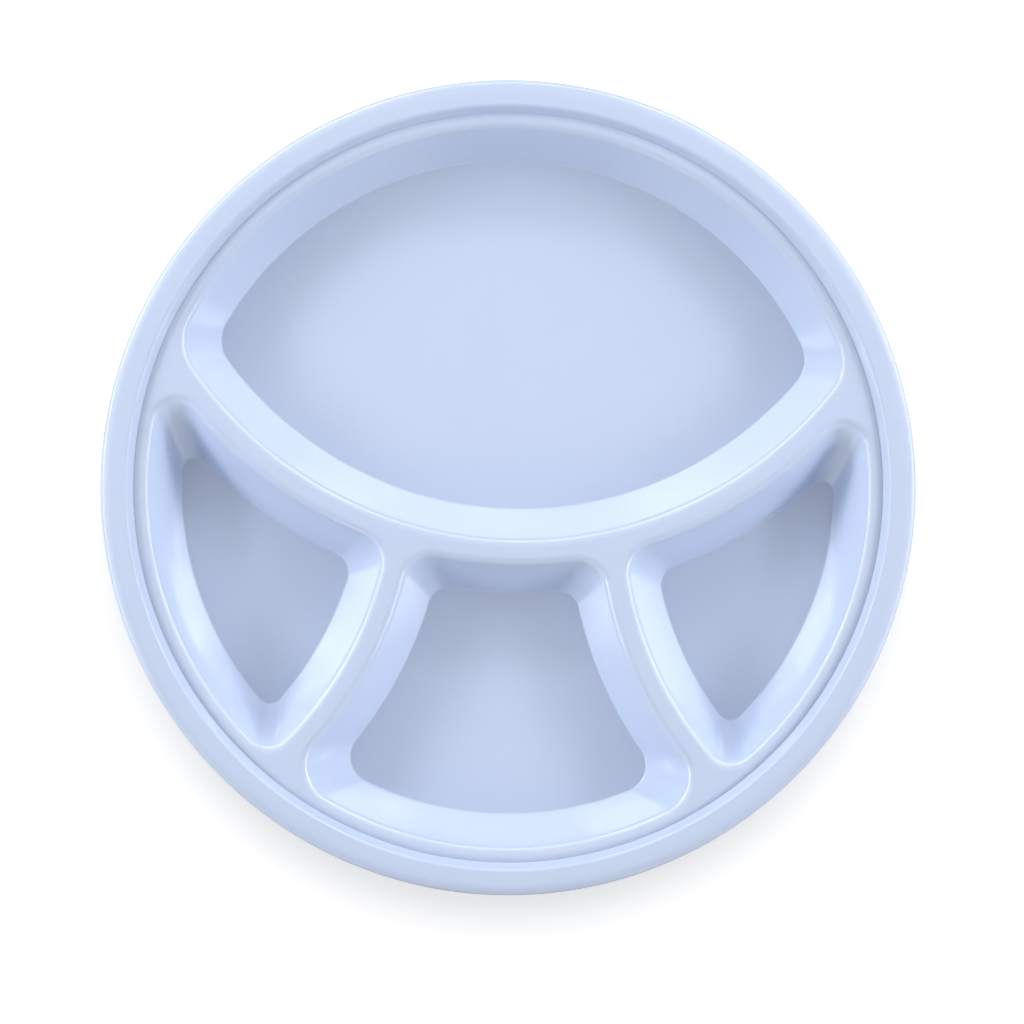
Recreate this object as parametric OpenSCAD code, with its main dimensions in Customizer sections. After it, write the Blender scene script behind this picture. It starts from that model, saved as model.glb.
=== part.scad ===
// Round plate with four compartments, moulded in one piece.
// A wide shallow well lies above a curved divider, and two side wells and a
// low middle well lie below it, parted by two curved spokes. The shell is of
// one thickness, so the divider and the spokes are hollow from below.
// Millimetres. The plate rests on z = 0 and its axis is Z; +Y is the side of
// the wide well.

/* [Node] */
// Which node to build

/* [Plate] */
// Outer diameter over the rolled edge
plate_d = 280; // [250:1:310]
// Thickness of the moulded shell
shell_t = 3; // [2.4:0.1:3.6]
// Height of the foot ring under the wells
foot_h = 2; // [1.5:0.1:3]
// Width of the foot ring
foot_w = 4; // [3:0.1:6]
// Radius of the foot ring's middle, as a share of the plate's radius
foot_share = 0.714; // [0.6:0.002:0.76]
// Rounding of the foot ring's edges
foot_edge_r = 1; // [0.5:0.1:1.4]

/* [Rim] */
// Width of the rim from the foot of its step to the outer edge
rim_w = 11.2; // [10:0.1:15]
// Thickness of the rim, whose outer edge is a half round
rim_t = 4; // [3.4:0.1:4.6]
// Height of the step from the ledge up to the rim
step_h = 2.5; // [2:0.1:3]
// Distance that the step leans out over its height
step_run = 2.4; // [1.6:0.1:3]
// Rounding along the top of the step
step_edge_r = 1.2; // [0.6:0.1:1.6]
// Rounding in the nook at the foot of the step
nook_r = 0.6; // [0.4:0.1:1.2]
// Width of the ledge between the step and the wells' top edges
ledge_w = 4.4; // [3:0.1:6]

/* [Wells] */
// Depth of the wells below the ledge
well_depth = 17.5; // [13:0.5:22]
// Distance that a wall leans out over the depth
wall_run = 10.8; // [8:0.1:12]
// Width of the divider and the spokes between the wells' top edges
ridge_w = 7.4; // [6:0.1:10]
// Rounding of the wells' top edges
lip_r = 3.2; // [2:0.1:3.6]
// Rounding where a wall meets the floor
floor_r = 1; // [0.6:0.1:2]

/* [Layout] */
// Radius of the divider's middle line, as a share of the plate's radius
divider_r_share = 1.007; // [0.94:0.001:1.1]
// Distance of the divider below the plate's middle, as a share of the radius
divider_y_share = 0.157; // [0.12:0.001:0.2]
// Radius of a spoke's middle line, as a share of the plate's radius
spoke_r_share = 0.921; // [0.84:0.001:1.05]
// Least distance of a spoke from the middle plane, as a share of the radius
spoke_x_share = 0.257; // [0.23:0.001:0.3]
// Distance of a spoke's centre below the middle, as a share of the radius
spoke_y_share = 0.029; // [0:0.001:0.06]

/* [Corners] */
// Floor corner radius at the wide well's two tips
tip_r = 12; // [8:0.1:15]
// Floor corner radius at the narrow top of a side well
side_top_r = 4.6; // [3:0.1:6]
// Floor corner radius of a side well beside the divider and the spoke
side_in_r = 7.4; // [5:0.1:9]
// Floor corner radius at the bottom of a side well
side_low_r = 4.9; // [3.5:0.1:7]
// Floor corner radius of the low well below the divider
low_top_r = 7; // [5:0.1:9]
// Floor corner radius of the low well at its two lower ends
low_end_r = 9.5; // [7:0.1:11]
// Growth of a corner's radius up the wall, as a share of the wall's run
corner_share = 0.3; // [0.15:0.01:0.6]

/* [Colour] */
// Colour of the moulding
plate_colour = "#C3D2F0"; // [#C3D2F0:blue, #F3F1EA:white, #CBE3D3:green]

/* [Hidden] */
$fn = 180;
// Facets round a corner, at the foot of a wall inside and below, up the wall
// and over its lip, and the turn of a side from one facet to the next
corner_steps = 8;
floor_steps = 2;
under_steps = 3;
wall_steps = 2;
lip_steps = 3;
side_step = 4;
// A point within each well, as shares of its floor's reach from the axis
wide_mid_shares = [0, 0.45];
side_mid_shares = [-0.72, -0.26];
low_mid_shares = [0, -0.62];
// Overrun of cuts past a face
over = 1;
origin = [0, 0];

plate_r = plate_d / 2;
step_r = plate_r - rim_w;
floor_z = foot_h + shell_t;
deck_z = floor_z + well_depth;
top_z = deck_z + step_h;
under_z = deck_z - shell_t;
// Floor edges of the wells beside the ledge, and half the divider there
rim_arc_r = step_r - ledge_w - wall_run;
half_web = ridge_w / 2 + wall_run;

divider_r = plate_r * divider_r_share;
divider_c = [0, divider_r - plate_r * divider_y_share];
spoke_r = plate_r * spoke_r_share;
spoke_c = [-plate_r * spoke_x_share - spoke_r, -plate_r * spoke_y_share];
spoke_far_c = [-spoke_c.x, spoke_c.y];

// Angle of a wall over the floor, and the reach of its two roundings
wall_a = atan2(well_depth, wall_run);
wall_t = shell_t / sin(wall_a);
lip_reach = lip_r * tan(wall_a / 2);
floor_reach = floor_r * tan(wall_a / 2);
lip_c = [wall_run + lip_reach, deck_z - lip_r];
floor_c = [-floor_reach, floor_z + floor_r];

// A side of a well is [centre, radius, sense]. The sense is 1 where the well
// lies within the circle and -1 where it lies outside. A well is its sides,
// anticlockwise, the floor corner radius after each side, and a point in it.
wide_well = [
    [[origin, rim_arc_r, 1], [divider_c, divider_r - half_web, 1]],
    [tip_r, tip_r],
    rim_arc_r * wide_mid_shares
];
side_well = [
    [
        [origin, rim_arc_r, 1],
        [spoke_c, spoke_r - half_web, 1],
        [divider_c, divider_r + half_web, -1]
    ],
    [side_low_r, side_in_r, side_top_r],
    rim_arc_r * side_mid_shares
];
low_well = [
    [
        [origin, rim_arc_r, 1],
        [spoke_far_c, spoke_r + half_web, -1],
        [divider_c, divider_r + half_web, -1],
        [spoke_c, spoke_r + half_web, -1]
    ],
    [low_end_r, low_top_r, low_top_r, low_end_r],
    rim_arc_r * low_mid_shares
];

// Plan geometry of a side and of a corner between two sides
function side_reach(side, grow) = side[1] + side[2] * grow;
function angle_of(v) = atan2(v.y, v.x);
function along(a) = [cos(a), sin(a)];
function turn(from, to) = (to - from + 540) % 360 - 180;
function after(list, k) = list[(k + 1) % len(list)];

// Where two circles meet, on the left of the line between them or the right
function meet(a, ra, b, rb, hand) =
    let (
        gap = norm(b - a),
        way = (b - a) / gap,
        run = (gap * gap + ra * ra - rb * rb) / (2 * gap),
        off = sqrt(ra * ra - run * run)
    )
    a + way * run + [-way.y, way.x] * off * hand;

// Where two sides meet once both have moved outward by grow
function side_meet(s, t, grow) =
    meet(s[0], side_reach(s, grow), t[0], side_reach(t, grow), s[2] * t[2]);

// A wall's section from floor to ledge, as [distance out from the floor's
// edge, height], with a round at its foot and at its lip
function arc_points(c, r, from, to, n) =
    [for (i = [0:n]) c + r * along(from + (to - from) * i / n)];
function line_points(a, b, n) = [for (i = [1:n]) a + (b - a) * i / n];
foot_arc = arc_points(floor_c, floor_r, -90, wall_a - 90, floor_steps);
lip_arc = arc_points(lip_c, lip_r, wall_a + 90, 90, lip_steps);
space_points = concat(
    foot_arc,
    line_points(foot_arc[floor_steps], lip_arc[0], wall_steps),
    [for (i = [1:lip_steps]) lip_arc[i]],
    [[lip_c.x, deck_z + over]]
);
// The same for the underside, up into the thickness of the ledge
join_z = under_z + shell_t / 2;
under_arc =
    arc_points(floor_c, floor_r + shell_t, -90, wall_a - 90, under_steps);
body_points = concat(
    under_arc,
    line_points(
        under_arc[under_steps],
        [wall_t + (join_z - floor_z) / tan(wall_a), join_z],
        wall_steps
    )
);

// Distance out of the wall's straight line at a height
function wall_out(z) =
    wall_run * max(0, min(1, (z - floor_z) / well_depth));

// Radius of a corner at a point of the section, and the corner's centre
function corner_r(well, k, p) =
    well[1][k] + p.x - (1 - corner_share) * wall_out(p.y);
function corner_c(well, k, p) =
    side_meet(well[0][k], after(well[0], k), p.x - corner_r(well, k, p));

// Steps along a side, set by its turn at the floor
function side_turn(well, k, p) =
    let (c = well[0][k][0], n = len(well[0]))
    turn(
        angle_of(corner_c(well, (k + n - 1) % n, p) - c),
        angle_of(corner_c(well, k, p) - c)
    );
function side_steps(well, k) =
    ceil(abs(side_turn(well, k, [0, floor_z])) / side_step);

// A closed ring round a well at one point of the section: along each side
// and then round the corner after it
function well_ring(well, p) = [
    for (k = [0:len(well[0]) - 1])
        let (
            s = well[0][k],
            t = after(well[0], k),
            c = corner_c(well, k, p),
            last = angle_of(c - s[0]),
            sweep = side_turn(well, k, p),
            n = side_steps(well, k),
            from = angle_of((c - s[0]) * s[2]),
            bend = turn(from, angle_of((c - t[0]) * t[2]))
        )
        each concat(
            [for (i = [0:n]) s[0]
                + side_reach(s, p.x) * along(last - sweep * (1 - i / n))],
            [for (i = [1:corner_steps - 1]) c
                + corner_r(well, k, p) * along(from + bend * i / corner_steps)]
        )
];

// A solid up through the rings of a section's points
module skin(well, section) {
    rings = [for (p = section) [for (q = well_ring(well, p)) [q.x, q.y, p.y]]];
    n = len(rings[0]);
    m = len(rings);
    mid = well[2];
    points = concat(
        [for (ring = rings) each ring],
        [[mid.x, mid.y, section[0].y], [mid.x, mid.y, section[m - 1].y]]
    );
    low = n * m;
    high = low + 1;
    polyhedron(
        points = points,
        faces = [
            for (i = [0:n - 1])
                let (next = (i + 1) % n, roof = (m - 1) * n)
                each concat(
                    [[low, i, next], [high, roof + next, roof + i]],
                    [
                        for (j = [0:m - 2])
                            let (a = j * n + i, b = j * n + next)
                            each [[a, a + n, b + n], [a, b + n, b]]
                    ]
                )
        ]
    );
}

module well_space(well) {
    skin(well, space_points);
}

module well_body(well) {
    skin(well, body_points);
}

// Ledge, step and rim in section, from the axis out to the rolled edge
module rim_section() {
    step_a = atan2(step_h, step_run);
    edge_reach = step_edge_r * tan(step_a / 2);
    nook_reach = nook_r * tan(step_a / 2);
    up = along(step_a);
    foot = [step_r, deck_z];
    brow = foot + [step_run, step_h];
    under_foot = [step_r + shell_t * tan(step_a / 2), under_z];
    under_rise = top_z - rim_t - under_z;
    under_brow = under_foot + [under_rise / tan(step_a), under_rise];
    bead_r = rim_t / 2;
    polygon([
        [0, under_z], under_foot, under_brow,
        [plate_r - bead_r, top_z - rim_t], [plate_r - bead_r, top_z],
        brow + [edge_reach, 0], brow - up * edge_reach, foot, [0, deck_z]
    ]);
    translate([plate_r - bead_r, top_z - bead_r])
        circle(bead_r);
    translate(brow + [edge_reach, -step_edge_r])
        circle(step_edge_r);
    difference() {
        polygon([foot - [nook_reach, 0], foot, foot + up * nook_reach]);
        translate(foot + [-nook_reach, nook_r])
            circle(nook_r);
    }
}

module foot_section() {
    foot_r = plate_r * foot_share;
    translate([foot_r - foot_w / 2, foot_edge_r])
        square([foot_w, foot_h + shell_t / 2 - foot_edge_r]);
    translate([foot_r - foot_w / 2 + foot_edge_r, 0])
        square([foot_w - 2 * foot_edge_r, foot_edge_r]);
    for (x = [foot_edge_r, foot_w - foot_edge_r])
        translate([foot_r - foot_w / 2 + x, foot_edge_r])
            circle(foot_edge_r);
}

module both_sides() {
    children();
    mirror([1, 0, 0])
        children();
}

module plate() {
    color(plate_colour)
        difference() {
            union() {
                rotate_extrude()
                    rim_section();
                rotate_extrude()
                    foot_section();
                well_body(wide_well);
                both_sides()
                    well_body(side_well);
                well_body(low_well);
            }
            well_space(wide_well);
            both_sides()
                well_space(side_well);
            well_space(low_well);
        }
}

plate();
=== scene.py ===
"""Looks of the divided compartment plate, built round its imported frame.

The plate is one glossy melamine moulding. Its visible mesh is built here from
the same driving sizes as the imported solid, with finer arcs: each well is a
chain of spun arcs that is bridged up the wall, and the rim is a spun section.
Lengths are in metres in the frame's own axes: +Z up out of the wells and +Y
towards the wide well.
"""

import logging
import math
from dataclasses import dataclass, field
from enum import Enum

import bmesh
import bpy
from bmesh.types import BMEdge, BMesh, BMVert
from mathutils import Matrix, Vector


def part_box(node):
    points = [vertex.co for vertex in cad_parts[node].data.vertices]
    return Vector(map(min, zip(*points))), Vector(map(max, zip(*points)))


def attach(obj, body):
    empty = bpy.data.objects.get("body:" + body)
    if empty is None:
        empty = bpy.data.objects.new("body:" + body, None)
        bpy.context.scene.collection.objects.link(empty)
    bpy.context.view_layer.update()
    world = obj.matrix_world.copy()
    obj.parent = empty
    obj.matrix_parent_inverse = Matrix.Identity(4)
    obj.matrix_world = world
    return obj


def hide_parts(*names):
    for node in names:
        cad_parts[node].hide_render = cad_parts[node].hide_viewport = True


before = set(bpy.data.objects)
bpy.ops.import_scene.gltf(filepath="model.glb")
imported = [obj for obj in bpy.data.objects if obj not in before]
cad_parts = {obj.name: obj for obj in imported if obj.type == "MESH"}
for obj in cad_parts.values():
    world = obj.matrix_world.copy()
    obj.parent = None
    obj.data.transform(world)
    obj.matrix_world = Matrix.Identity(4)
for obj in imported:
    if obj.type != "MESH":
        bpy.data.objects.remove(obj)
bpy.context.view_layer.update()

log = logging.getLogger("plate_scene")

MM = 0.001
PHOTO_SIZE_PX = 1024


def unit(angle: float) -> Vector:
    """Returns the plan vector of length one at an angle in radians."""
    return Vector((math.cos(angle), math.sin(angle)))


def angle_of(v: Vector) -> float:
    """Returns a plan vector's angle in radians."""
    return math.atan2(v.y, v.x)


def turn(start: float, end: float) -> float:
    """Returns the shorter turn from one angle to another, in radians."""
    return (end - start + math.pi) % math.tau - math.pi


def meet(a: Vector, ra: float, b: Vector, rb: float, hand: int) -> Vector:
    """Finds where two circles meet.

    Args:
        a: Centre of the first circle.
        ra: Radius of the first circle.
        b: Centre of the second circle.
        rb: Radius of the second circle.
        hand: 1 for the meeting point on the left of the way from a to b, or
            -1 for the one on the right.

    Returns:
        The meeting point.
    """
    gap = (b - a).length
    way = (b - a) / gap
    run = (gap * gap + ra * ra - rb * rb) / (2 * gap)
    off = math.sqrt(ra * ra - run * run)
    return a + way * run + Vector((-way.y, way.x)) * off * hand


def arc_points(
    centre: Vector, radius: float, start: float, end: float, steps: int
) -> list[Vector]:
    """Returns the points of an arc.

    Args:
        centre: Centre of the arc.
        radius: Radius of the arc.
        start: First angle in radians.
        end: Last angle in radians.
        steps: Number of chords.

    Returns:
        The arc's points, both ends among them.
    """
    return [
        centre + unit(start + (end - start) * i / steps) * radius
        for i in range(steps + 1)
    ]


def spin_vert(
    bm: BMesh, vert: BMVert, centre: Vector, angle: float, steps: int
) -> BMVert:
    """Draws an arc of edges by spinning one vertex about a vertical axis.

    Args:
        bm: Mesh that takes the edges.
        vert: Vertex that the arc starts from.
        centre: The arc's centre in plan.
        angle: The arc's turn in radians.
        steps: Number of edges.

    Returns:
        The vertex at the arc's far end.
    """
    result = bmesh.ops.spin(
        bm,
        geom=[vert],
        cent=(centre.x, centre.y, vert.co.z),
        axis=(0, 0, 1),
        dvec=(0, 0, 0),
        angle=angle,
        steps=steps,
        use_merge=False,
        use_duplicate=False,
    )
    return next(g for g in result["geom_last"] if isinstance(g, BMVert))


def loop_edges(start: BMVert) -> list[BMEdge]:
    """Walks round a closed wire loop.

    Args:
        start: A vertex of the loop.

    Returns:
        The loop's edges, in order.
    """
    edges: list[BMEdge] = []
    edge = start.link_edges[0]
    vert = start
    while edge not in edges[:1]:
        edges.append(edge)
        vert = edge.other_vert(vert)
        edge = next(e for e in vert.link_edges if e != edge)
    return edges


def wire(bm: BMesh, points: list[Vector], closed: bool = False) -> list[BMEdge]:
    """Draws a section as a chain of edges in the XZ plane.

    Args:
        bm: Mesh that takes the chain.
        points: The section's points, as (radius, height).
        closed: Whether the chain's ends are joined.

    Returns:
        The chain's edges.
    """
    verts = [bm.verts.new((p.x, 0.0, p.y)) for p in points]
    ends = verts[1:] + verts[:1] if closed else verts[1:]
    return [bm.edges.new(pair) for pair in zip(verts, ends)]


def spin_section(bm: BMesh, edges: list[BMEdge], steps: int) -> None:
    """Turns a section all the way round the plate's axis.

    Args:
        bm: Mesh that holds the section.
        edges: The section's edges.
        steps: Number of steps round the axis.
    """
    verts = list({v for e in edges for v in e.verts})
    bmesh.ops.spin(
        bm,
        geom=verts + edges,
        cent=(0, 0, 0),
        axis=(0, 0, 1),
        dvec=(0, 0, 0),
        angle=math.tau,
        steps=steps,
        use_merge=True,
        use_duplicate=False,
    )


def open_edges(bm: BMesh, z: float, reach: float) -> list[BMEdge]:
    """Finds the open edges at a height.

    Args:
        bm: Mesh to look in.
        z: The height.
        reach: How far an end may lie from the height.

    Returns:
        The edges that have one face only.
    """
    return [
        e
        for e in bm.edges
        if e.is_boundary and all(abs(v.co.z - z) < reach for v in e.verts)
    ]


def join_mesh(bm: BMesh, part: BMesh) -> None:
    """Adds a part's mesh to a mesh, and frees the part.

    Args:
        bm: Mesh that takes the part.
        part: The part, which is drawn on its own as that is far quicker.
    """
    mesh = bpy.data.meshes.new("part")
    part.to_mesh(mesh)
    part.free()
    bm.from_mesh(mesh)
    bpy.data.meshes.remove(mesh)


def as_object(bm: BMesh, name: str) -> bpy.types.Object:
    """Turns a finished mesh into an object at the origin.

    Args:
        bm: The mesh, which is freed.
        name: Name of the object.

    Returns:
        The object, linked to the scene.
    """
    mesh = bpy.data.meshes.new(name)
    bm.to_mesh(mesh)
    bm.free()
    obj = bpy.data.objects.new(name, mesh)
    bpy.context.scene.collection.objects.link(obj)
    return obj


@dataclass(frozen=True)
class Arc:
    """One side of a well.

    Attributes:
        centre: Centre of the side's circle in plan.
        radius: Radius at the floor's edge.
        sense: 1 where the well lies within the circle, -1 where it lies
            outside.
    """

    centre: Vector
    radius: float
    sense: int

    def reach(self, grow: float) -> float:
        """Returns the side's radius once it has moved out of the well."""
        return self.radius + self.sense * grow


@dataclass(frozen=True)
class Sizes:
    """Driving sizes of the plate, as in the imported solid.

    The roundings along the step, the lips and the rolled edge are softer than
    the solid's, and the ledge sinks into the crease at the foot of the step.
    Both change the surface by about half a millimetre at most. They are there
    for the highlights and the dark crease line that the photograph shows, and
    match them only in part.

    Attributes:
        plate_r: Radius of the plate.
        height: Height of the plate.
        shell_t: Thickness of the shell.
        foot_h: Height of the foot ring below the shell.
        foot_w: Width of the foot ring.
        foot_share: The foot ring's radius, as a share of the plate's.
        foot_edge_r: Rounding of the foot ring's lower edges.
        rim_w: Width of the rim, step included.
        rim_t: Thickness of the rim at its rolled edge.
        roll_run: How far in the rolled edge starts to fall away.
        step_h: Height of the step from the ledge up to the rim.
        step_run: Run of the step in plan.
        step_edge_r: Rounding of the step's upper edge.
        cove_w: Width over which the ledge sinks into the crease.
        crease_h: Depth of the crease below the ledge.
        ledge_w: Width of the ledge.
        wall_run: Run of a well's wall in plan.
        ridge_w: Width of a ridge's top, roundings included.
        lip_r: Rounding of a well's lip.
        floor_r: Rounding at the foot of a well's wall.
        corner_share: How much of the wall's run opens out a well's corner.
        divider_share: Radius of the divider's curve, as a share of the
            plate's, as all shares below.
        divider_drop_share: How far the divider's lowest point lies below the
            plate's middle.
        spoke_share: Radius of a spoke's curve.
        spoke_x_share: Least distance of a spoke from the plate's middle line.
        spoke_drop_share: How far that nearest point lies below the plate's
            middle.
        tip_r: Floor radius at the wide well's two tips, as all radii below.
        side_top_r: At the side wells' upper corners.
        side_in_r: At the side wells' inner corners.
        side_low_r: At the side wells' lower corners.
        low_top_r: At the low well's upper corners.
        low_end_r: At the low well's lower corners.
    """

    plate_r: float
    height: float
    shell_t: float = 3.0 * MM
    foot_h: float = 2.0 * MM
    foot_w: float = 4.0 * MM
    foot_share: float = 0.714
    foot_edge_r: float = 1.0 * MM
    rim_w: float = 11.2 * MM
    rim_t: float = 4.0 * MM
    roll_run: float = 4.4 * MM
    step_h: float = 2.5 * MM
    step_run: float = 2.4 * MM
    step_edge_r: float = 1.8 * MM
    cove_w: float = 2.1 * MM
    crease_h: float = 0.5 * MM
    ledge_w: float = 4.4 * MM
    wall_run: float = 10.8 * MM
    ridge_w: float = 7.4 * MM
    lip_r: float = 4.0 * MM
    floor_r: float = 1.0 * MM
    corner_share: float = 0.3
    divider_share: float = 1.007
    divider_drop_share: float = 0.157
    spoke_share: float = 0.921
    spoke_x_share: float = 0.257
    spoke_drop_share: float = 0.029
    tip_r: float = 12.0 * MM
    side_top_r: float = 4.6 * MM
    side_in_r: float = 7.4 * MM
    side_low_r: float = 4.9 * MM
    low_top_r: float = 7.0 * MM
    low_end_r: float = 9.5 * MM

    @property
    def floor_z(self) -> float:
        """Height of the wells' floors."""
        return self.foot_h + self.shell_t

    @property
    def deck_z(self) -> float:
        """Height of the ledge and of the ridges."""
        return self.height - self.step_h

    @property
    def under_z(self) -> float:
        """Height of the ledge's underside."""
        return self.deck_z - self.shell_t

    @property
    def well_depth(self) -> float:
        """Depth of the wells below the ledge."""
        return self.deck_z - self.floor_z

    @property
    def step_r(self) -> float:
        """Radius at the foot of the step."""
        return self.plate_r - self.rim_w

    @property
    def rim_arc_r(self) -> float:
        """Radius of the floors' edges beside the ledge."""
        return self.step_r - self.ledge_w - self.wall_run

    @property
    def half_web(self) -> float:
        """Half the distance between two floors across a ridge."""
        return self.ridge_w / 2 + self.wall_run

    @property
    def wall_a(self) -> float:
        """Angle of the walls over the floors."""
        return math.atan2(self.well_depth, self.wall_run)


class Face(Enum):
    """The two faces of a well's wall."""

    INSIDE = "inside"
    UNDERSIDE = "underside"


@dataclass(frozen=True)
class WallSection:
    """Section of a well's wall.

    Its points are (distance out from the floor's edge, height).

    Attributes:
        sizes: Driving sizes of the plate.
        floor_steps: Facets over the rounding at the foot of the wall.
        under_steps: Facets over the same rounding on the underside.
        wall_steps: Rows of facets up the straight wall.
        lip_steps: Facets over the lip.
    """

    sizes: Sizes
    floor_steps: int = 4
    under_steps: int = 6
    wall_steps: int = 3
    lip_steps: int = 8

    @property
    def floor_c(self) -> Vector:
        """Centre of the rounding at the foot of the wall."""
        s = self.sizes
        return Vector((-s.floor_r * math.tan(s.wall_a / 2), s.floor_z + s.floor_r))

    @property
    def lip_c(self) -> Vector:
        """Centre of the rounding at the lip."""
        s = self.sizes
        return Vector(
            (s.wall_run + s.lip_r * math.tan(s.wall_a / 2), s.deck_z - s.lip_r)
        )

    def points(self, face: Face) -> list[Vector]:
        """Returns the section of one face of the wall."""
        return self.inside() if face is Face.INSIDE else self.underside()

    def inside(self) -> list[Vector]:
        """Draws the section of the wall that holds the food.

        Returns:
            The points from the floor up over the lip to the ledge.
        """
        s = self.sizes
        square = math.pi / 2
        foot = arc_points(
            self.floor_c, s.floor_r, -square, s.wall_a - square, self.floor_steps
        )
        lip = arc_points(self.lip_c, s.lip_r, s.wall_a + square, square, self.lip_steps)
        wall = [
            foot[-1].lerp(lip[0], i / self.wall_steps)
            for i in range(1, self.wall_steps)
        ]
        return foot + wall + lip

    def underside(self) -> list[Vector]:
        """Draws the section of the wall's underside.

        Returns:
            The points from the floor's underside up to the ledge's.
        """
        s = self.sizes
        square = math.pi / 2
        foot = arc_points(
            self.floor_c,
            s.floor_r + s.shell_t,
            -square,
            s.wall_a - square,
            self.under_steps,
        )
        out = s.shell_t / math.sin(s.wall_a)
        rise = s.under_z - s.floor_z
        top = Vector((out + rise / math.tan(s.wall_a), s.under_z))
        wall = [
            foot[-1].lerp(top, i / self.wall_steps)
            for i in range(1, self.wall_steps + 1)
        ]
        return foot + wall


@dataclass(frozen=True)
class Well:
    """Outline of one well: its sides anticlockwise, and the corner after each.

    Attributes:
        sizes: Driving sizes of the plate.
        sides: The sides.
        corners: Floor radius of the corner after each side.
        side_step: Turn of a side from one facet to the next.
        corner_steps: Facets round a corner.
    """

    sizes: Sizes
    sides: tuple[Arc, ...]
    corners: tuple[float, ...]
    side_step: float = math.radians(1.5)
    corner_steps: int = 16

    def corner_radius(self, k: int, point: Vector) -> float:
        """Works out how round a corner is at a height.

        Args:
            k: Number of the corner.
            point: Point of the wall's section.

        Returns:
            The corner's radius there.
        """
        s = self.sizes
        rise = min(max((point.y - s.floor_z) / s.well_depth, 0.0), 1.0)
        return self.corners[k] + point.x - (1 - s.corner_share) * s.wall_run * rise

    def corner_centre(self, k: int, point: Vector) -> Vector:
        """Finds the centre of a corner that touches the sides it joins.

        Args:
            k: Number of the corner.
            point: Point of the wall's section.

        Returns:
            The corner's centre in plan.
        """
        a, b = self.sides[k], self.sides[(k + 1) % len(self.sides)]
        grow = point.x - self.corner_radius(k, point)
        return meet(
            a.centre, a.reach(grow), b.centre, b.reach(grow), a.sense * b.sense
        )

    def side_turn(self, k: int, point: Vector) -> float:
        """Works out how far a side turns between its two corners.

        Args:
            k: Number of the side.
            point: Point of the wall's section.

        Returns:
            The turn in radians.
        """
        c = self.sides[k].centre
        return turn(
            angle_of(self.corner_centre(k - 1, point) - c),
            angle_of(self.corner_centre(k, point) - c),
        )

    def trace(self, bm: BMesh, point: Vector) -> list[BMEdge]:
        """Draws the well's outline at one point of the wall's section.

        Args:
            bm: Mesh that takes the outline.
            point: The point, as (distance out from the floor's edge, height).

        Returns:
            The edges of the closed outline.
        """
        count = len(self.sides)
        corner = [self.corner_centre(k, point) for k in range(count)]
        floor_edge = Vector((0.0, self.sizes.floor_z))
        side = self.sides[0]
        from_c = (corner[-1] - side.centre).normalized()
        start = side.centre + from_c * side.reach(point.x)
        first = vert = bm.verts.new((start.x, start.y, point.y))
        for k, side in enumerate(self.sides):
            steps = math.ceil(abs(self.side_turn(k, floor_edge)) / self.side_step)
            vert = spin_vert(bm, vert, side.centre, self.side_turn(k, point), steps)
            after = self.sides[(k + 1) % count]
            bend = turn(
                angle_of((corner[k] - side.centre) * side.sense),
                angle_of((corner[k] - after.centre) * after.sense),
            )
            vert = spin_vert(bm, vert, corner[k], bend, self.corner_steps)
        bmesh.ops.weld_verts(bm, targetmap={vert: first})
        return loop_edges(first)


def wells(sizes: Sizes) -> list[Well]:
    """Lays out the four wells.

    Args:
        sizes: Driving sizes of the plate.

    Returns:
        The wide well, the side wells and the low well.
    """
    s = sizes
    r = s.plate_r
    web = s.half_web
    rim = Arc(Vector((0.0, 0.0)), s.rim_arc_r, 1)
    divider_r = r * s.divider_share
    divider_c = Vector((0.0, divider_r - r * s.divider_drop_share))
    spoke_r = r * s.spoke_share
    spoke_x = r * s.spoke_x_share + spoke_r
    spoke_y = -r * s.spoke_drop_share
    left_c, right_c = Vector((-spoke_x, spoke_y)), Vector((spoke_x, spoke_y))
    above = Arc(divider_c, divider_r - web, 1)
    below = Arc(divider_c, divider_r + web, -1)
    left_in, left_out = Arc(left_c, spoke_r - web, 1), Arc(left_c, spoke_r + web, -1)
    right_in = Arc(right_c, spoke_r - web, 1)
    right_out = Arc(right_c, spoke_r + web, -1)
    return [
        Well(s, (rim, above), (s.tip_r, s.tip_r)),
        Well(s, (rim, left_in, below), (s.side_low_r, s.side_in_r, s.side_top_r)),
        Well(s, (rim, below, right_in), (s.side_top_r, s.side_in_r, s.side_low_r)),
        Well(
            s,
            (rim, right_out, below, left_out),
            (s.low_end_r, s.low_top_r, s.low_top_r, s.low_end_r),
        ),
    ]


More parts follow.
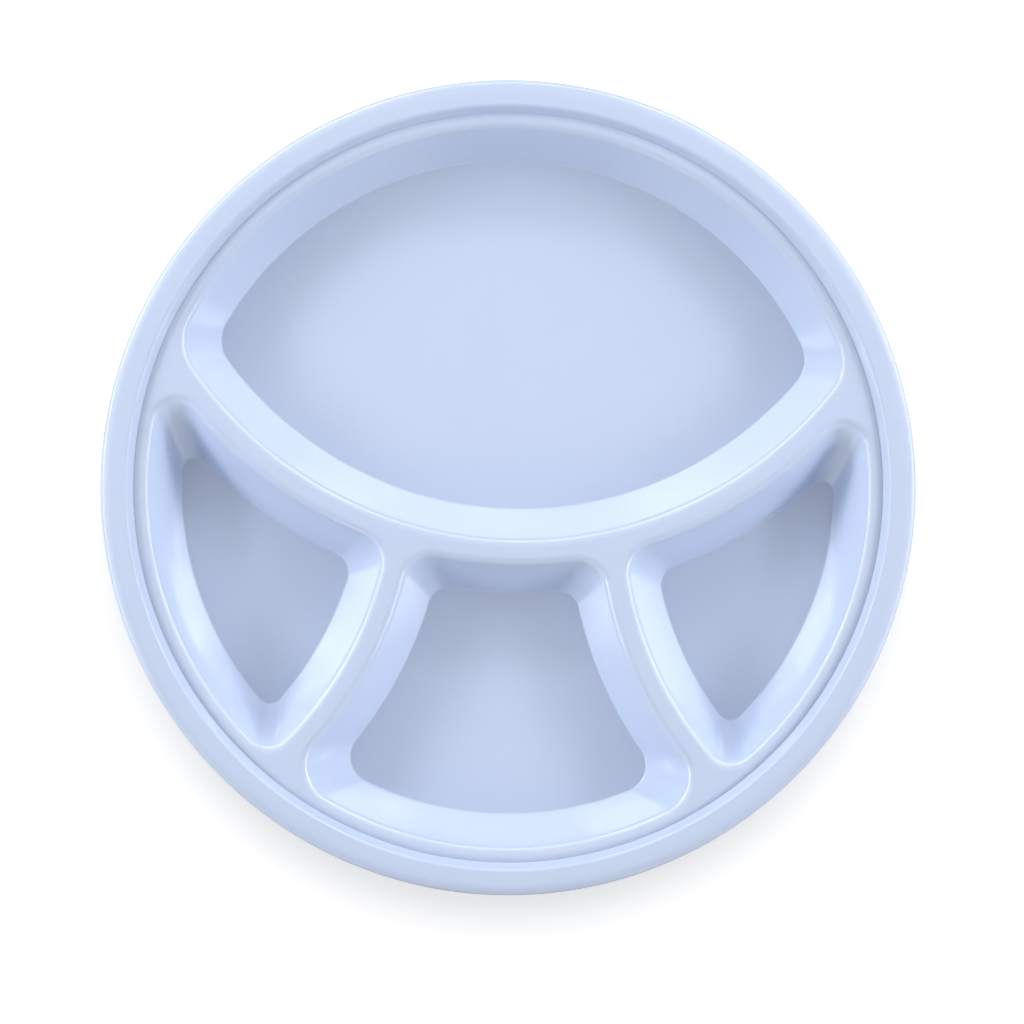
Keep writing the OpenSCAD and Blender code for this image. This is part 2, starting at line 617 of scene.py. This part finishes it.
@dataclass
class Moulding:
    """The plate's one-piece shell, with its rim, wells and foot ring.

    Attributes:
        sizes: Driving sizes of the plate.
        turn_steps: Facets round the rim.
        edge_steps: Facets over a small rounding of the rim.
        bead_steps: Facets over the rolled edge.
        weld: Distance within which two vertices become one.
        crease_deg: Angle between two faces over which their edge stays sharp.
        section: Section of a well's wall.
    """

    sizes: Sizes
    turn_steps: int = 360
    edge_steps: int = 6
    bead_steps: int = 20
    weld: float = 0.002 * MM
    crease_deg: float = 35.0
    section: WallSection = field(init=False)

    def __post_init__(self) -> None:
        """Works out the wall's section."""
        self.section = WallSection(self.sizes)

    def rim_section(self) -> list[Vector]:
        """Draws the section of the rim, the step and the crease.

        Returns:
            The points from the ledge round the rolled edge to the underside,
            as (radius, height).
        """
        s = self.sizes
        square = math.pi / 2
        foot = Vector((s.step_r, s.deck_z - s.crease_h))
        brow = Vector((s.step_r + s.step_run, s.height))
        step_a = angle_of(brow - foot)
        half = math.tan(step_a / 2)
        under_foot = Vector((s.step_r + s.shell_t * half, s.under_z))
        rise = s.height - s.rim_t - s.under_z
        under_brow = under_foot + Vector((rise / math.tan(step_a), rise))
        bead_r = s.rim_t / 2
        shares = [i / self.edge_steps for i in range(self.edge_steps + 1)]
        cove = [
            foot + Vector(((t - 1) * s.cove_w, (1 - t * t) * s.crease_h))
            for t in shares
        ]
        edge = arc_points(
            brow + Vector((s.step_edge_r * half, -s.step_edge_r)),
            s.step_edge_r,
            step_a + square,
            square,
            self.edge_steps,
        )
        bead = arc_points(Vector((0.0, 0.0)), 1.0, square, -square, self.bead_steps)
        roll = [
            Vector(
                (
                    s.plate_r + (p.x - 1) * (s.roll_run if p.y > 0 else bead_r),
                    s.height + (p.y - 1) * bead_r,
                )
            )
            for p in bead
        ]
        return cove + edge + roll + [under_brow, under_foot]

    def build_shell(self) -> bpy.types.Object:
        """Builds the shell: the rim, both faces of the ledge and the wells.

        Returns:
            The shell.
        """
        s = self.sizes
        bm = bmesh.new()
        spin_section(bm, wire(bm, self.rim_section()), self.turn_steps)
        for well in wells(s):
            for face in Face:
                self.add_well_face(bm, well, face)
        for z, up in ((s.deck_z, 1), (s.under_z, -1)):
            edges = open_edges(bm, z, self.weld)
            bmesh.ops.triangle_fill(
                bm, use_beauty=True, use_dissolve=False, edges=edges, normal=(0, 0, up)
            )
        bmesh.ops.remove_doubles(bm, verts=bm.verts, dist=self.weld)
        bmesh.ops.recalc_face_normals(bm, faces=bm.faces)
        return as_object(bm, "plate_shell")

    def add_well_face(self, bm: BMesh, well: Well, face: Face) -> None:
        """Adds one face of a well, its floor and its wall, to the shell.

        Args:
            bm: The shell's mesh.
            well: The well.
            face: Which face of its wall and floor.
        """
        part = bmesh.new()
        rings = [well.trace(part, point) for point in self.section.points(face)]
        for low, high in zip(rings, rings[1:]):
            bmesh.ops.bridge_loops(part, edges=low + high)
        bmesh.ops.contextual_create(part, geom=rings[0])
        join_mesh(bm, part)

    def build_foot(self) -> bpy.types.Object:
        """Builds the foot ring, which reaches up into the shell.

        Returns:
            The foot ring.
        """
        s = self.sizes
        square = math.pi / 2
        mid, half = s.plate_r * s.foot_share, s.foot_w / 2
        top = s.foot_h + s.shell_t / 2
        inner = Vector((mid - half + s.foot_edge_r, s.foot_edge_r))
        outer = Vector((mid + half - s.foot_edge_r, s.foot_edge_r))
        points = arc_points(inner, s.foot_edge_r, math.pi, 3 * square, self.edge_steps)
        points += arc_points(outer, s.foot_edge_r, -square, 0.0, self.edge_steps)
        points += [Vector((mid + half, top)), Vector((mid - half, top))]
        bm = bmesh.new()
        spin_section(bm, wire(bm, points, closed=True), self.turn_steps)
        bmesh.ops.remove_doubles(bm, verts=bm.verts, dist=self.weld)
        bmesh.ops.recalc_face_normals(bm, faces=bm.faces)
        return as_object(bm, "foot_ring")

    def build(self, material: bpy.types.Material) -> list[bpy.types.Object]:
        """Builds and dresses the pieces.

        Args:
            material: The moulding's finish.

        Returns:
            The shell and the foot ring.
        """
        pieces = [self.build_shell(), self.build_foot()]
        for piece in pieces:
            smooth(piece, math.radians(self.crease_deg))
            piece.data.materials.append(material)
            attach(piece, "root")
            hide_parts("plate")
            log.info("%s: %d faces", piece.name, len(piece.data.polygons))
        return pieces


def smooth(obj: bpy.types.Object, crease: float, large_weight: int = 100) -> None:
    """Shades an object smooth, with its large faces ruling the normals.

    Args:
        obj: The object.
        crease: Angle in radians between two faces over which their edge
            stays sharp.
        large_weight: How far the large faces rule, where 50 is neutral.
    """
    mesh = obj.data
    mesh.shade_smooth()
    mesh.set_sharp_from_angle(angle=crease)
    weighted = obj.modifiers.new("weighted_normals", "WEIGHTED_NORMAL")
    weighted.mode = "FACE_AREA"
    weighted.weight = large_weight
    weighted.keep_sharp = True


def linear(hex_code: str) -> tuple[float, float, float, float]:
    """Turns an sRGB hex colour into linear values.

    Args:
        hex_code: The colour, such as #FFFFFF.

    Returns:
        Red, green, blue and an alpha of one.
    """

    def channel(pair: str) -> float:
        """Returns the linear value of one channel's two hex digits."""
        c = int(pair, 16) / 255
        return c / 12.92 if c <= 0.04045 else ((c + 0.055) / 1.055) ** 2.4

    code = hex_code.lstrip("#")
    return (channel(code[0:2]), channel(code[2:4]), channel(code[4:6]), 1.0)


def add_node(
    tree: bpy.types.NodeTree,
    kind: str,
    settings: dict[str, object] | None = None,
    inputs: dict[str, object] | None = None,
    links: dict[str, bpy.types.NodeSocket] | None = None,
) -> bpy.types.Node:
    """Adds a node to a tree with its settings, values and links.

    Args:
        tree: The node tree.
        kind: The node's type name.
        settings: Properties of the node.
        inputs: Values of its input sockets.
        links: Sockets that feed its input sockets.

    Returns:
        The new node.
    """
    node = tree.nodes.new(kind)
    for name, value in (settings or {}).items():
        setattr(node, name, value)
    for name, value in (inputs or {}).items():
        node.inputs[name].default_value = value
    for name, socket in (links or {}).items():
        tree.links.new(socket, node.inputs[name])
    return node


def seen_directly(tree: bpy.types.NodeTree) -> bpy.types.NodeSocket:
    """Adds a test for rays that show a surface: seen, reflected or seen through.

    Args:
        tree: The node tree.

    Returns:
        The socket that holds one for such rays and zero for the others.
    """
    path = add_node(tree, "ShaderNodeLightPath")
    total = path.outputs["Is Camera Ray"]
    for name in ("Is Glossy Ray", "Is Transmission Ray"):
        either = add_node(tree, "ShaderNodeMath", settings={"operation": "MAXIMUM"})
        tree.links.new(total, either.inputs[0])
        tree.links.new(path.outputs[name], either.inputs[1])
        total = either.outputs[0]
    return total


@dataclass(frozen=True)
class MouldedMelamine:
    """Glossy melamine, pressed hot in a polished steel mould.

    The resin is tinted right through and its skin is as smooth as the steel,
    so it shows a clear but faint gloss over a milky body colour. The skin
    draws in a little where it cools, which gives long soft waves, the pigment
    lies in faint clouds, and the steel's polish is a little uneven, so the
    gloss varies in faint patches.

    Attributes:
        name: Name of the material.
        body: The pale blue of the resin.
        cloud: The slightly lighter blue in the clouds.
        polished: Roughness where the steel was polished best.
        dulled: Roughness where it was polished least.
        patch_range: Noise levels at which the best and the least are reached.
        patch_mm: Width of a patch of polish.
        patch_detail: Finer levels in the patches.
        ior: Index of refraction.
        cloud_mm: Width of a cloud.
        cloud_detail: Finer levels in the clouds.
        wave_mm: Length of a wave.
        wave_depth_mm: Depth of a wave.
        wave_detail: Finer levels in the waves.
    """

    name: str = "moulded_melamine"
    body: str = "#BCCBE8"
    cloud: str = "#C1CFEA"
    polished: float = 0.065
    dulled: float = 0.11
    patch_range: tuple[float, float] = (0.35, 0.65)
    patch_mm: float = 18.0
    patch_detail: float = 4.0
    ior: float = 1.68
    cloud_mm: float = 45.0
    cloud_detail: float = 3.0
    wave_mm: float = 28.0
    wave_depth_mm: float = 0.01
    wave_detail: float = 1.0

    def build(self) -> bpy.types.Material:
        """Builds the finish.

        Returns:
            The material.
        """
        material = bpy.data.materials.new(self.name)
        material.use_nodes = True
        tree = material.node_tree
        tree.nodes.clear()
        place = add_node(tree, "ShaderNodeTexCoord").outputs["Object"]
        clouds = add_node(
            tree,
            "ShaderNodeTexNoise",
            inputs={
                "Scale": 1 / (self.cloud_mm * MM),
                "Detail": self.cloud_detail,
            },
            links={"Vector": place},
        )
        tint = add_node(
            tree,
            "ShaderNodeMix",
            settings={"data_type": "RGBA"},
            links={"Factor": clouds.outputs["Fac"]},
        )
        colours = [i for i in tint.inputs if i.type == "RGBA"]
        colours[0].default_value = linear(self.body)
        colours[1].default_value = linear(self.cloud)
        tint_out = next(o for o in tint.outputs if o.type == "RGBA")
        waves = add_node(
            tree,
            "ShaderNodeTexNoise",
            inputs={"Scale": 1 / (self.wave_mm * MM), "Detail": self.wave_detail},
            links={"Vector": place},
        )
        bump = add_node(
            tree,
            "ShaderNodeBump",
            inputs={"Strength": 1.0, "Distance": self.wave_depth_mm * MM},
            links={"Height": waves.outputs["Fac"]},
        )
        patches = add_node(
            tree,
            "ShaderNodeTexNoise",
            inputs={
                "Scale": 1 / (self.patch_mm * MM),
                "Detail": self.patch_detail,
            },
            links={"Vector": place},
        )
        polish = add_node(
            tree,
            "ShaderNodeMapRange",
            inputs={
                "From Min": self.patch_range[0],
                "From Max": self.patch_range[1],
                "To Min": self.polished,
                "To Max": self.dulled,
            },
            links={"Value": patches.outputs["Fac"]},
        )
        shader = add_node(
            tree,
            "ShaderNodeBsdfPrincipled",
            inputs={"IOR": self.ior},
            links={
                "Base Color": tint_out,
                "Roughness": polish.outputs["Result"],
                "Normal": bump.outputs["Normal"],
            },
        )
        add_node(
            tree,
            "ShaderNodeOutputMaterial",
            links={"Surface": shader.outputs["BSDF"]},
        )
        return material


@dataclass(frozen=True)
class PaperSweep:
    """Matt white paper, rolled out as a studio floor.

    It has no gloss, so it mirrors neither the plate nor the lamps.

    Attributes:
        name: Name of the material.
        colour: The white of the paper.
        glow_colour: Colour of the light that it gives off.
        glow: Strength of that light, which only the eye and reflections see
            and which leaves only the deep part of the shadow.
    """

    name: str = "white_sweep"
    colour: str = "#F6F6F6"
    glow_colour: str = "#FFFFFF"
    glow: float = 0.7

    def build(self) -> bpy.types.Material:
        """Builds the finish.

        Returns:
            The material.
        """
        material = bpy.data.materials.new(self.name)
        material.use_nodes = True
        tree = material.node_tree
        tree.nodes.clear()
        paper = add_node(
            tree, "ShaderNodeBsdfDiffuse", inputs={"Color": linear(self.colour)}
        )
        light = add_node(
            tree,
            "ShaderNodeEmission",
            inputs={"Color": linear(self.glow_colour), "Strength": self.glow},
        )
        glowing = add_node(tree, "ShaderNodeAddShader")
        tree.links.new(paper.outputs[0], glowing.inputs[0])
        tree.links.new(light.outputs[0], glowing.inputs[1])
        seen = add_node(tree, "ShaderNodeMixShader", links={"Fac": seen_directly(tree)})
        tree.links.new(paper.outputs[0], seen.inputs[1])
        tree.links.new(glowing.outputs[0], seen.inputs[2])
        add_node(
            tree, "ShaderNodeOutputMaterial", links={"Surface": seen.outputs[0]}
        )
        return material


@dataclass(frozen=True)
class Softbox:
    """A white soft lamp that faces the plate.

    Attributes:
        azimuth: Bearing of the lamp in degrees, from +X towards +Y.
        elevation: Height of the lamp over the plate, in degrees.
        power: Power in watts.
        size: Width and height of its elliptical face.
        distance: Distance from the plate.
        in_gloss: Whether the plate's gloss mirrors the lamp. The lowest lamps
            are left out, or they would burn out the floors and the ledge when
            the plate is seen from low down.
    """

    azimuth: float
    elevation: float
    power: float
    size: tuple[float, float]
    distance: float = 1.6
    in_gloss: bool = True

    def build(self, target: Vector, lit: bpy.types.Collection) -> None:
        """Adds the lamp, turned to face a point.

        Args:
            target: The point.
            lit: What the lamp lights.
        """
        name = f"softbox_{self.azimuth:.0f}_{self.elevation:.0f}"
        data = bpy.data.lights.new(name, "AREA")
        data.shape = "ELLIPSE"
        data.size, data.size_y = self.size
        data.energy = self.power
        lamp = bpy.data.objects.new(name, data)
        rise = math.radians(self.elevation)
        flat = unit(math.radians(self.azimuth)) * math.cos(rise)
        away = Vector((flat.x, flat.y, math.sin(rise)))
        lamp.location = target + away * self.distance
        lamp.rotation_euler = away.to_track_quat("Z", "Y").to_euler()
        lamp.light_linking.receiver_collection = lit
        lamp.visible_glossy = self.in_gloss
        bpy.context.scene.collection.objects.link(lamp)


def collection(name: str, objects: list[bpy.types.Object]) -> bpy.types.Collection:
    """Gathers objects that a lamp lights.

    Args:
        name: Name of the collection.
        objects: The objects.

    Returns:
        The collection, which isn't linked to the scene.
    """
    gathered = bpy.data.collections.new(name)
    for obj in objects:
        gathered.objects.link(obj)
    return gathered


@dataclass
class Studio:
    """The floor, the lamps and the camera.

    Attributes:
        pieces: The plate's pieces.
        ledge_z: Height of the plate's ledge.
        distance: Distance from the plate's ledge to the camera.
        tilt_x: Lean of the camera's line of sight towards +X, in radians.
        tilt_y: Lean towards +Y, in radians.
        roll: Turn of the plate in the picture, in radians.
        focal_px: Focal length in pixels of the photograph.
        centre_px: Where the middle of the ledge's plane lies in the picture.
        sensor_mm: Width of the camera's sensor.
        floor_size: Width of the floor.
        surround: Colour of the surround.
        surround_light: Strength at which the surround lights things.
        surround_white: Strength at which it is seen and mirrored.
        lamps: Rings of softboxes that light only the plate. Their powers are
            fitted to the photograph's light and dark sides.
        shades: The lamp that lights only the floor and casts the plate's
            shadow on it.
        floor: The floor.
    """

    pieces: list[bpy.types.Object]
    ledge_z: float
    distance: float = 1.4
    tilt_x: float = -0.007
    tilt_y: float = 0.008
    roll: float = 0.037
    focal_px: float = 4076.0
    centre_px: tuple[float, float] = (508.4, 488.1)
    sensor_mm: float = 36.0
    floor_size: float = 12.0
    surround: str = "#FFFFFF"
    surround_light: float = 0.07
    surround_white: float = 1.0
    lamps: tuple[Softbox, ...] = (
        Softbox(0.0, 25.0, 7.04, size=(1.7, 0.2)),
        Softbox(45.0, 25.0, 5.89, size=(1.7, 0.4)),
        Softbox(90.0, 25.0, 4.73, size=(1.7, 0.16)),
        Softbox(135.0, 25.0, 7.72, size=(1.7, 0.4)),
        Softbox(180.0, 25.0, 6.75, size=(1.7, 0.2)),
        Softbox(225.0, 25.0, 3.47, size=(1.7, 0.9)),
        Softbox(270.0, 25.0, 2.32, size=(1.7, 0.9)),
        Softbox(315.0, 25.0, 3.28, size=(1.7, 0.9)),
        Softbox(0.0, 14.0, 4.54, size=(1.5, 0.4), in_gloss=False),
        Softbox(45.0, 14.0, 2.61, size=(1.5, 0.4), in_gloss=False),
        Softbox(135.0, 14.0, 1.83, size=(1.5, 0.4), in_gloss=False),
        Softbox(180.0, 14.0, 4.15, size=(1.5, 0.4), in_gloss=False),
        Softbox(0.0, 45.0, 1.45, size=(1.4, 0.7)),
        Softbox(45.0, 45.0, 2.22, size=(1.4, 0.7)),
        Softbox(135.0, 45.0, 1.74, size=(1.4, 0.7)),
        Softbox(180.0, 45.0, 2.41, size=(1.4, 0.7)),
        Softbox(5.0, 21.0, 3.38, size=(0.45, 0.25), in_gloss=False),
        Softbox(175.0, 21.0, 3.38, size=(0.45, 0.25), in_gloss=False),
    )
    shades: tuple[Softbox, ...] = (Softbox(90.0, 64.0, 11.8, size=(1.6, 1.2)),)
    floor: bpy.types.Object = field(init=False)

    def build_floor(self) -> None:
        """Adds the pale floor, which keeps the plate's shadow."""
        bm = bmesh.new()
        bmesh.ops.create_grid(
            bm, x_segments=1, y_segments=1, size=self.floor_size / 2
        )
        self.floor = as_object(bm, "studio_floor")
        self.floor.data.materials.append(PaperSweep().build())
        log.info("floor: %.1f m wide", self.floor_size)

    def build_world(self) -> None:
        """Sets a pale surround."""
        world = bpy.data.worlds.new("surround")
        world.use_nodes = True
        tree = world.node_tree
        tree.nodes.clear()
        pale = add_node(
            tree,
            "ShaderNodeBackground",
            inputs={
                "Color": linear(self.surround),
                "Strength": self.surround_light,
            },
        )
        white = add_node(
            tree,
            "ShaderNodeBackground",
            inputs={
                "Color": linear(self.surround),
                "Strength": self.surround_white,
            },
        )
        pick = add_node(tree, "ShaderNodeMixShader", links={"Fac": seen_directly(tree)})
        tree.links.new(pale.outputs[0], pick.inputs[1])
        tree.links.new(white.outputs[0], pick.inputs[2])
        add_node(tree, "ShaderNodeOutputWorld", links={"Surface": pick.outputs[0]})
        bpy.context.scene.world = world

    def build_lamps(self) -> None:
        """Adds the soft lamps."""
        target = Vector((0.0, 0.0, self.ledge_z))
        plate_light = collection("plate_light", self.pieces)
        for lamp in self.lamps:
            lamp.build(target, plate_light)
        floor_light = collection("floor_light", [self.floor])
        for lamp in self.shades:
            lamp.build(target, floor_light)
        log.info("lamps: %d", len(self.lamps) + len(self.shades))

    def build_camera(self) -> None:
        """Adds the camera at the photograph's viewing angle."""
        aim = Vector((0.0, 0.0, self.ledge_z))
        away = Vector((math.tan(self.tilt_x), math.tan(self.tilt_y), 1.0)).normalized()
        up = Vector((0.0, 1.0, 0.0))
        up = (up - away * up.dot(away)).normalized()
        right = up.cross(away)
        rolled_right = right * math.cos(self.roll) + up * math.sin(self.roll)
        rolled_up = away.cross(rolled_right)
        data = bpy.data.cameras.new("camera")
        data.sensor_fit = "HORIZONTAL"
        data.sensor_width = self.sensor_mm
        data.lens = self.focal_px * self.sensor_mm / PHOTO_SIZE_PX
        half = PHOTO_SIZE_PX / 2
        data.shift_x = (half - self.centre_px[0]) / PHOTO_SIZE_PX
        data.shift_y = (self.centre_px[1] - half) / PHOTO_SIZE_PX
        camera = bpy.data.objects.new("camera", data)
        place = aim + away * self.distance
        turned = Matrix((rolled_right, rolled_up, away)).transposed().to_4x4()
        camera.matrix_world = Matrix.Translation(place) @ turned
        bpy.context.scene.collection.objects.link(camera)
        bpy.context.scene.camera = camera

    def build(self) -> None:
        """Builds the studio."""
        self.build_floor()
        self.build_world()
        self.build_lamps()
        self.build_camera()
        bpy.context.scene.view_settings.view_transform = "Standard"


def main() -> None:
    """Builds the plate and its studio."""
    logging.basicConfig(level=logging.INFO, format="%(name)s: %(message)s")
    low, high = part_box("plate")
    sizes = Sizes(plate_r=(high[0] - low[0]) / 2, height=high[2] - low[2])
    pieces = Moulding(sizes).build(MouldedMelamine().build())
    Studio(pieces, sizes.deck_z).build()


if __name__ == "__main__":
    main()
